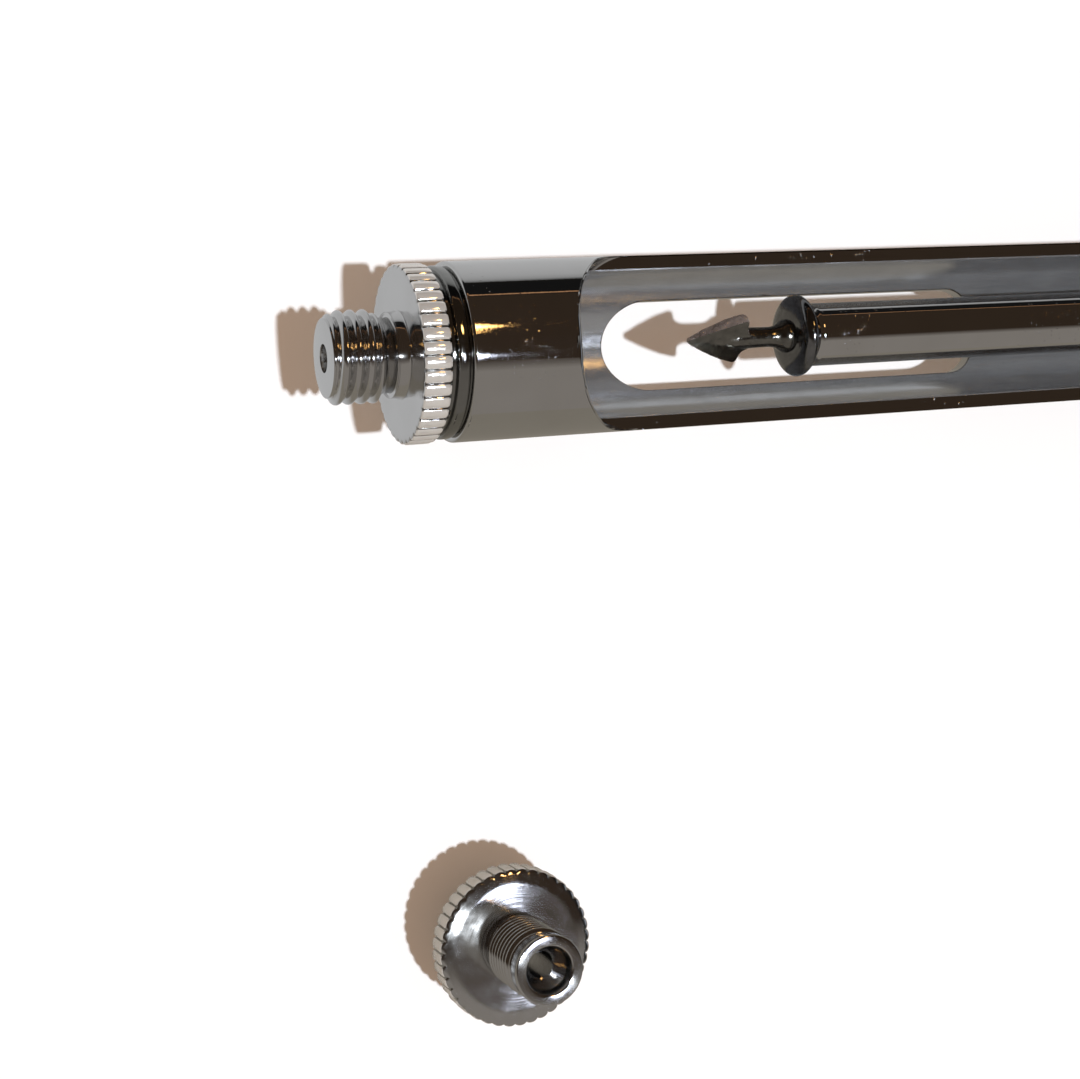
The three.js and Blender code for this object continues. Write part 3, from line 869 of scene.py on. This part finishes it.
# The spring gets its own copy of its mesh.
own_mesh(spring)
settle(washer("spring_washer", ROD_R + FIT, 0.1), "spring_washer", SPRING_STEEL)
settle(washer("rod_bush", ROD_R + FIT, 0.15), "rod_bush", BRASS)


# ---- Plunger ----


def harpoon():
    """A barbed arrow head cut from a flat, with a pitted edge, on a shank that swells at its rear."""
    tip, end = ends("harpoon")
    length, half, thick, shank_r = 4.0, 1.8, 0.48, 0.72
    barbs = tip + length
    root = barbs + 0.55
    point, shoulder, barb = (tip + 0.02, 0.12), (barbs - 0.45, half - 0.06), (barbs + 0.02, half - 0.3)
    curve = [
        (tip, 0.05),
        point,
        *bezier(point, (tip + 1.2, 0.78), (tip + 2.4, 1.38), shoulder, 34),
        *bezier(shoulder, (barbs - 0.2, half + 0.03), (barbs, half), barb, 8),
        *bezier(barb, (barbs + 0.02, 1.0), (barbs + 0.1, 0.7), (root, shank_r - 0.12), 16),
    ]
    outline = curve + [(x, -y) for x, y in reversed(curve)]
    # Grid points fill the outline, a margin away from its edge.
    grid, margin = 0.1, 0.12
    widest = {}
    for x, y in curve:
        i = round((x - tip) / grid)
        widest[i] = max(y, widest.get(i, 0))
    inner = []
    for i in range(1, int((root - tip) / grid)):
        reach = min(widest.get(i, half), widest.get(i + 1, half))
        rows = int(max(0.0, reach - margin) / grid)
        inner += [(tip + i * grid, j * grid) for j in range(-rows, rows + 1)]
    flat = [Vector(p) for p in outline + inner]
    rim = [(i, (i + 1) % len(outline)) for i in range(len(outline))]
    points, _, triangles, *_ = delaunay_2d_cdt(flat, rim, [], 1, 1e-6)

    def height(x, y):
        """Half the head's thickness: thin at the point, with the shank's round back rising out of it."""
        wedge = thick * min(1.0, 0.24 + 0.76 * ((x - tip) / 2.6) ** 0.8)
        crown = wedge * (1 - 0.16 * min(1.0, abs(y) / half))
        swell = min(1.0, max(0.0, (x - barbs + 2.6) / 2.0))
        back = math.sqrt(max(0.0, shank_r**2 - y * y)) * swell
        return max(crown, back)

    layers = 9
    count = len(points)
    shape_points = [(p.x, p.y, side * height(p.x, p.y)) for side in (1, -1) for p in points]
    faces = [tuple(t) for t in triangles] + [tuple(count + i for i in t) for t in triangles]
    borders = {}
    for triangle in triangles:
        for pair in zip(triangle, triangle[1:] + triangle[:1]):
            edge = tuple(sorted(pair))
            borders[edge] = borders.get(edge, 0) + 1
    walls = {}

    def column(i):
        """The points down the head's edge below one point of its outline, bulging a little."""
        if i not in walls:
            first = len(shape_points)
            x, y, top = shape_points[i]
            bulge = 0.05 * min(1.0, abs(y))
            for k in range(1, layers):
                t = k / layers
                out = y * (1 + bulge * math.sin(math.pi * t))
                shape_points.append((x, out, top * (1 - 2 * t)))
            walls[i] = [i, *range(first, first + layers - 1), count + i]
        return walls[i]

    for (a, b), uses in borders.items():
        if uses == 1:
            left, right = column(a), column(b)
            faces += [(left[k], right[k], right[k + 1], left[k + 1]) for k in range(layers)]
    arrow = Shape()
    arrow.add(shape_points, faces)
    roll = along_axis() @ Matrix.Rotation(math.radians(45), 4, "X")
    head = arrow.build("harpoon_fine", roll)
    for polygon in head.data.polygons[2 * len(triangles):]:
        polygon.material_index = 1
    pit(head, roll.inverted(), count)

    head_x = ends("piston_head")[0]
    screw_r = 0.78
    shank = Shape()
    shank.spin(filleted([
        (barbs - 1.6, 0),
        (barbs - 1.2, shank_r * 0.75, 0.3),
        (barbs - 0.2, shank_r * 1.01, 0.3),
        (head_x - 1.25, shank_r * 0.94, 0.3),
        (head_x - 0.75, shank_r * 1.1, 0.25),
        (head_x - 0.4, 1.12, 0.3),
        (head_x + 0.3, 1.15, 0.1),
        (head_x + 0.3, screw_r),
        (end, screw_r, 0.1),
        (end, 0),
    ]), 64)
    stem = shank.build("harpoon_stem", roll)
    join([head, stem])
    smooth(head, 42)
    return head


def pit(head, home, flats):
    """Roughens the arrow head: deep pits along its sawn edge, slight waves on its flat faces."""
    work = bmesh.new()
    work.from_mesh(head.data)
    work.normal_update()
    highest = 0.04
    for vert in work.verts:
        spot = home @ (vert.co / MM)
        on_edge = vert.index >= 2 * flats
        size = 2.8 if on_edge else 1.1
        depth = 0.13 if on_edge else 0.03
        rough = noise.fractal(spot * size, 0.7, 2.1, 4)
        vert.co += vert.normal * min(highest, rough * depth) * MM
    work.to_mesh(head.data)
    work.free()


def join(pieces):
    """Makes one mesh of several overlapping closed surfaces, in the first one's object."""
    work = bmesh.new()
    for piece in pieces:
        work.from_mesh(piece.data)
    work.to_mesh(pieces[0].data)
    work.free()
    for piece in pieces[1:]:
        bpy.data.objects.remove(piece)


def piston_head():
    """A mushroom whose faces both round off towards its rim."""
    x0, x1 = ends("piston_head")
    half, r, rounding, bore_r, steps = (x1 - x0) / 2, 2.8, 1.65, 1.12, 24
    rim = []
    for k in range(steps + 1):
        a = math.pi * k / steps
        rim.append((half * (1 - math.cos(a)), r - rounding + rounding * math.sin(a)))
    return turned("piston_head_fine", [(-0.05, bore_r), *rim, (2 * half, bore_r)], 128, x0)


def piston_rod():
    """A plain rod whose front end reaches to the piston head."""
    x0, x1 = ends("piston_rod")
    return turned("piston_rod_fine", [
        (-GAP, 0),
        (-GAP, ROD_R - 0.2, 0.08),
        (0, ROD_R, 0.12),
        (x1 - x0, ROD_R, 0.2),
        (x1 - x0, 0),
    ], 160, x0)


settle(harpoon(), "harpoon", HARPOON_STEEL, SAWN_STEEL)
settle(piston_head(), "piston_head", HEAD_STEEL)
settle(piston_rod(), "piston_rod", CHROME)


# ---- Rear end ----


def fluted(node, inner, flutes, depth, fillet=0.2):
    """A ring with shallow grip flutes round its edge."""
    low, high = span(node)
    outer = (high.z - low.z) / 2
    length = high.x - low.x
    flute_share = 0.35

    def rim(drop):
        def radius(angle):
            wave = abs(math.sin(flutes * angle / 2))
            dip = max(0.0, 1 - wave / flute_share) ** 1.5
            return outer - drop - depth * dip

        return radius

    rows = [
        (0, inner + 0.1),
        (0, outer - fillet - depth),
        (0.05 * fillet, rim(fillet * 0.8)),
        (0.35 * fillet, rim(fillet * 0.3)),
        (fillet, rim(0)),
        (length - fillet, rim(0)),
        (length - 0.35 * fillet, rim(fillet * 0.3)),
        (length - 0.05 * fillet, rim(fillet * 0.8)),
        (length, outer - fillet - depth),
        (length, inner + 0.1),
        (length - 0.1, inner),
        (0.1, inner),
    ]
    shape = Shape()
    shape.spin(rows, flutes * 16, closed=True)
    piece = shape.build(node + "_fine", along_axis(low.x))
    smooth(piece, 40)
    return piece


def end_cap():
    """The cap behind the finger grip, with seats for the O-ring and the bush."""
    x0, x1 = ends("end_cap")
    plug, plug_r, r, gland_r, bush_r = 1.6, 4.5, 6.0, 4.3, 3.5
    length = x1 - x0
    seat = ends("rod_o_ring")[0] - x0 - FIT
    bush = ends("rod_bush")[1] - x0 + FIT
    return turned("end_cap_fine", [
        (0, plug_r, 0.15),
        (plug, plug_r),
        (plug, r, 0.2),
        (length - 1.5, r, 0.1),
        (length - 1.35, r - 0.15, 0.08),
        (length - 1.2, r, 0.1),
        (length, r, 0.55),
        (length, gland_r, 0.12),
        (seat, gland_r),
        (seat, ROD_R + FIT),
        (bush, ROD_R + FIT),
        (bush, bush_r),
        (0, bush_r, 0.1),
    ], 160, x0)


def gland_nut():
    """A flat nut with two holes for a pin wrench."""
    x0, x1 = ends("gland_nut")
    piece = turned("gland_nut_fine", ring(0, x1 - x0, ROD_R + FIT, 4.0, 0.15), 128, x0)
    piece.modifiers.clear()
    depth, r, from_axis = 0.7, 0.45, 3.1
    for side in (-1, 1):
        hole = Shape()
        hole.spin([(x1 - depth, 0), (x1 - depth, r), (x1 + 1, r), (x1 + 1, 0)], 32)
        place = Matrix.Translation((0, side * from_axis, AXIS_Z))
        boolean(piece, hole.build("pin_hole", place), "DIFFERENCE")
    smooth(piece, 30)
    return piece


def o_ring():
    """A rubber ring of round section about the rod."""
    x0, x1 = ends("rod_o_ring")
    wire = (x1 - x0) / 2
    shape = Shape()
    section = arc(wire, ROD_R + FIT + wire, wire, 0, 345, 23)
    shape.spin(section, 96, closed=True)
    piece = shape.build("rod_o_ring_fine", along_axis(x0))
    smooth(piece, 60)
    return piece


def finger_grip():
    """Two wings hollowed for the fingers, with soft edges all round."""
    low, high = span("finger_grip")
    height = (high.z - low.z) / 2
    front, back = -2.8, 2.8
    hub, tip, bore_r, past = 8.2, 27.0, 5.32, 20
    lip, rim = (front - 1.6, tip - 0.6), (front + 0.8, tip - 0.4)
    wing = [(front, hub)]
    wing += bezier((front, hub), (front + 2.6, hub + 3), (front + 3.0, tip - 9), lip, 40)
    wing += bezier(lip, (front - 0.9, tip), (front - 0.1, tip), rim, 12)
    wing += bezier(rim, (back + 0.6, tip - 8), (back, hub + 5), (back, hub - 1.5), 40)
    outline = wing + [(x, -y) for x, y in reversed(wing)]
    piece = extruded("finger_grip_fine", outline, AXIS_Z - height, AXIS_Z + height)
    ends_outline = rounded_bar(-tip, tip, height, height - 0.01, 32)
    # Turns the outline's X, Y and Z into Y, Z and X.
    turn = Matrix(((0, 0, 1), (1, 0, 0), (0, 1, 0))).to_4x4()
    upright = along_axis() @ turn
    boolean(piece, extruded("wing_ends", ends_outline, -past, past, upright), "INTERSECT")
    bevel(piece, 1.0, 40, 5)
    bore = Shape()
    bore.spin([(-past, 0), (-past, bore_r), (past, bore_r), (past, 0)], 128)
    boolean(piece, bore.build("grip_bore", along_axis()), "DIFFERENCE")
    smooth(piece, 30)
    return piece


def ferrule():
    """The sleeve between the rod and the thumb ring, with a groove near its rear."""
    x0, x1 = ends("ring_ferrule")
    length, r = x1 - x0, 3.4
    return turned("ring_ferrule_fine", [
        (0, ROD_R + 0.05, 0.1),
        (0, r - 0.5, 0.25),
        (0.5, r, 0.3),
        (length - 2.2, r, 0.12),
        (length - 1.9, r - 0.35, 0.1),
        (length - 1.5, r - 0.35, 0.1),
        (length - 1.2, r, 0.12),
        (length, r, 0.3),
        (length, ROD_R + FIT, 0.1),
    ], 128, x0)


def ferrule_pin():
    """The pin that holds the ferrule on the rod."""
    piece = upright_pin("ferrule_pin", 0.15, 0.15, 48)
    smooth(piece)
    return piece


def thumb_ring():
    """A round-section ring with a boss and the stud that turns in the ferrule."""
    x0, x1 = ends("thumb_ring")
    wire, mean = 1.8, 11.6
    centre_x = x1 - mean - wire
    body = Shape()
    around, section = 160, 40
    points = []
    for i in range(around):
        a = TAU * i / around
        for k in range(section):
            b = TAU * k / section
            reach = mean + wire * math.cos(b)
            points.append((centre_x + reach * math.cos(a), reach * math.sin(a), wire * math.sin(b)))
    faces = []
    for i in range(around):
        here, there = i * section, (i + 1) % around * section
        for k in range(section):
            j = (k + 1) % section
            faces.append((here + k, here + j, there + j, there + k))
    body.add(points, faces)
    piece = body.build("thumb_ring_fine", along_axis())
    # The stud turns in the ferrule, the boss sits behind the swivel nut, and the neck runs into the ring.
    boss = nose_x + 114.5
    root = centre_x - mean + 0.6
    stud_r, shaft_r, boss_r, neck_r = 2.1, 1.5, 2.9, 1.75
    stud = Shape()
    stud.spin(filleted([
        (x0, 0),
        (x0, stud_r, 0.15),
        (x0 + 1.9, stud_r, 0.1),
        (x0 + 1.9, shaft_r),
        (boss, shaft_r),
        (boss, boss_r, 0.25),
        (boss + 1.1, boss_r, 0.6),
        (boss + 2.1, neck_r, 0.5),
        (root, neck_r),
        (root, 0),
    ]), 96)
    boolean(piece, stud.build("stud", along_axis()), "UNION")
    bevel(piece, 0.35, 35, 4)
    smooth(piece, 35)
    return piece


settle(finger_grip(), "finger_grip", CHROME)
settle(fluted("grip_ring_nut", 5.35, 18, 0.35), "grip_ring_nut", CHROME)
settle(end_cap(), "end_cap", CHROME)
settle(o_ring(), "rod_o_ring", RUBBER)
settle(gland_nut(), "gland_nut", SATIN)
settle(washer("bumper_ring", ROD_R + 0.05, 0.35, 128), "bumper_ring", RUBBER)
settle(ferrule(), "ring_ferrule", CHROME)
settle(ferrule_pin(), "ferrule_pin", SATIN)
settle(fluted("swivel_nut", 1.8, 12, 0.3, 0.15), "swivel_nut", CHROME)
settle(thumb_ring(), "thumb_ring", CHROME)


# ---- Stage ----


def plain_floor(name, colour):
    """A wide matt plane just under the pieces."""
    metres_across, height = 3, -0.02 * MM
    bpy.ops.mesh.primitive_plane_add(size=metres_across, location=(0, 0, height))
    plane = bpy.context.active_object
    plane.name = name
    material = bpy.data.materials.new(name)
    material.use_nodes = True
    shader = material.node_tree.nodes["Principled BSDF"]
    shader.inputs["Base Color"].default_value = (*colour, 1)
    shader.inputs["Roughness"].default_value = 0.9
    shader.inputs["Specular IOR Level"].default_value = 0
    plane.data.materials.append(material)
    return plane


def reflected_floor():
    """The table as the metal sees it, glowing for reflections only: pale, dark far behind, with painted
    shade in front of and under the syringe.
    """
    plane = plain_floor("reflected_floor", (0, 0, 0))
    g = Graph(plane.data.materials[0].node_tree)
    shader = g.tree.nodes["Principled BSDF"]
    split = g.new("ShaderNodeSeparateXYZ")
    g.link(g.new("ShaderNodeTexCoord").outputs["Object"], split.inputs[0])
    # The plane glows with these colours. The shade colour is painted shade: the viewer's shade on the -Y
    # side and the syringe's own shadow under it.
    pale, painted_shade, dark = (0.56, 0.565, 0.57), (0.27, 0.245, 0.205), (0.012, 0.011, 0.010)
    behind = g.mix(g.ramp(split.outputs["Y"], 0, 1, 20 * MM, 260 * MM), pale, dark)
    # Masks for the painted shade on the viewer's side and the painted shadow under the syringe, behind the
    # nose.
    painted_viewer_shade = g.ramp(split.outputs["Y"], 1, 0, -12 * MM, -5 * MM)
    beside = g.ramp(split.outputs["Y"], 1, 0, 5.5 * MM, 7.5 * MM)
    behind_nose = g.ramp(split.outputs["X"], 0, 1, (nose_x - 2) * MM, (nose_x + 2) * MM)
    painted_syringe_shadow = g.math("MULTIPLY", beside, behind_nose)
    table = g.mix(g.math("MAXIMUM", painted_viewer_shade, painted_syringe_shadow), behind, painted_shade)
    g.link(table, shader.inputs["Emission Color"])
    shader.inputs["Emission Strength"].default_value = 1
    plane.visible_camera = False
    plane.visible_diffuse = False
    plane.visible_shadow = False
    plane.visible_transmission = False


floor = plain_floor("floor", (0.93, 0.93, 0.93))
floor.visible_glossy = False
reflected_floor()


def room():
    """White for the camera, soft fill light, and a dim room with a strip and two lamps for the metal."""
    world = bpy.data.worlds.new("room")
    bpy.context.scene.world = world
    world.use_nodes = True
    g = Graph(world.node_tree)
    g.tree.nodes.clear()
    split = g.new("ShaderNodeSeparateXYZ")
    g.link(g.new("ShaderNodeTexCoord").outputs["Generated"], split.inputs[0])
    along = split.outputs["X"]
    # The angle about the syringe's axis: 0 is straight up, 90 degrees level on the +Y side.
    about = g.math("ARCTAN2", split.outputs["Y"], split.outputs["Z"])

    def lamp(place, angle, width, height, colour):
        """A soft oval light: its place and half size along the axis, then about it in degrees."""
        offsets = (
            g.math("DIVIDE", g.math("SUBTRACT", along, place), width),
            g.math("DIVIDE", g.math("SUBTRACT", about, math.radians(angle)), math.radians(height)),
        )
        squares = [g.math("POWER", offset, 2) for offset in offsets]
        distance = g.math("SQRT", g.math("ADD", *squares), 0)
        return g.mix(g.ramp(distance, 1, 0, 0.3, 1), (0, 0, 0), colour)

    near_wall = (0.28, 0.256, 0.232)
    ceiling = (0.040, 0.027, 0.018)
    far_wall = (0.010, 0.010, 0.010)
    far_window = (0.42, 0.45, 0.50)
    lit_strip = (0.60, 0.31, 0.15)
    warm_lamp = (24.0, 13.0, 4.0)
    cool_lamp = (14.0, 15.0, 18.0)
    colour = g.mix(g.ramp(about, 0, 1, math.radians(-29), math.radians(-14)), near_wall, ceiling)
    colour = g.mix(g.ramp(about, 0, 1, math.radians(68), math.radians(73)), colour, far_wall)
    colour = g.mix(g.ramp(along, 0, 1, 0.68, 0.85), colour, far_wall)
    colour = g.mix(g.ramp(along, 0, 1, 0.93, 0.97), colour, far_window)
    lights = [
        lamp(0, 71.5, 2.0, 1.1, lit_strip),
        lamp(0.300, 26, 0.050, 7, warm_lamp),
        lamp(0.298, -10, 0.045, 6, cool_lamp),
    ]
    for light in lights:
        colour = g.mix(1, colour, light, "ADD")

    def background(colour):
        node = g.new("ShaderNodeBackground")
        g.feed(node.inputs["Color"], colour)
        return node.outputs[0]

    def either(share, a, b):
        node = g.new("ShaderNodeMixShader")
        for socket, value in zip(node.inputs, (share, a, b)):
            g.link(value, socket)
        return node.outputs[0]

    rays = g.new("ShaderNodeLightPath")
    fill = background((0.45, 0.315, 0.225))
    unseen = either(rays.outputs["Is Glossy Ray"], fill, background(colour))
    final = either(rays.outputs["Is Camera Ray"], unseen, background((1.0, 1.0, 1.0)))
    g.link(final, g.new("ShaderNodeOutputWorld").inputs["Surface"])


def key_light():
    """A small cool light almost straight overhead, which throws the soft-edged shadows."""
    light = bpy.data.lights.new("key", "SUN")
    light.energy = 2.8
    light.angle = math.radians(2.0)
    light.color = (0.88, 0.94, 1.0)
    lamp = bpy.data.objects.new("key", light)
    bpy.context.collection.objects.link(lamp)
    lamp.rotation_euler = Vector((0.066, -0.117, 1)).to_track_quat("Z", "Y").to_euler()


def camera():
    """The photograph's camera: where it stood, where it looked, and its lens."""
    z = -CAMERA_LOOKS.normalized()
    x = Vector((0, 1, 0)).cross(z).normalized()
    y = z.cross(x)
    axes = Matrix((x, y, z)).transposed() @ Matrix.Rotation(CAMERA_ROLL, 3, "Z")
    data = bpy.data.cameras.new("camera")
    data.lens = CAMERA_LENS
    data.sensor_width = 36
    data.clip_start = 0.005
    eye = bpy.data.objects.new("camera", data)
    eye.matrix_world = Matrix.Translation(CAMERA_AT * MM) @ axes.to_4x4()
    bpy.context.collection.objects.link(eye)
    bpy.context.scene.camera = eye


room()
key_light()
camera()
bpy.context.scene.view_settings.view_transform = "Standard"
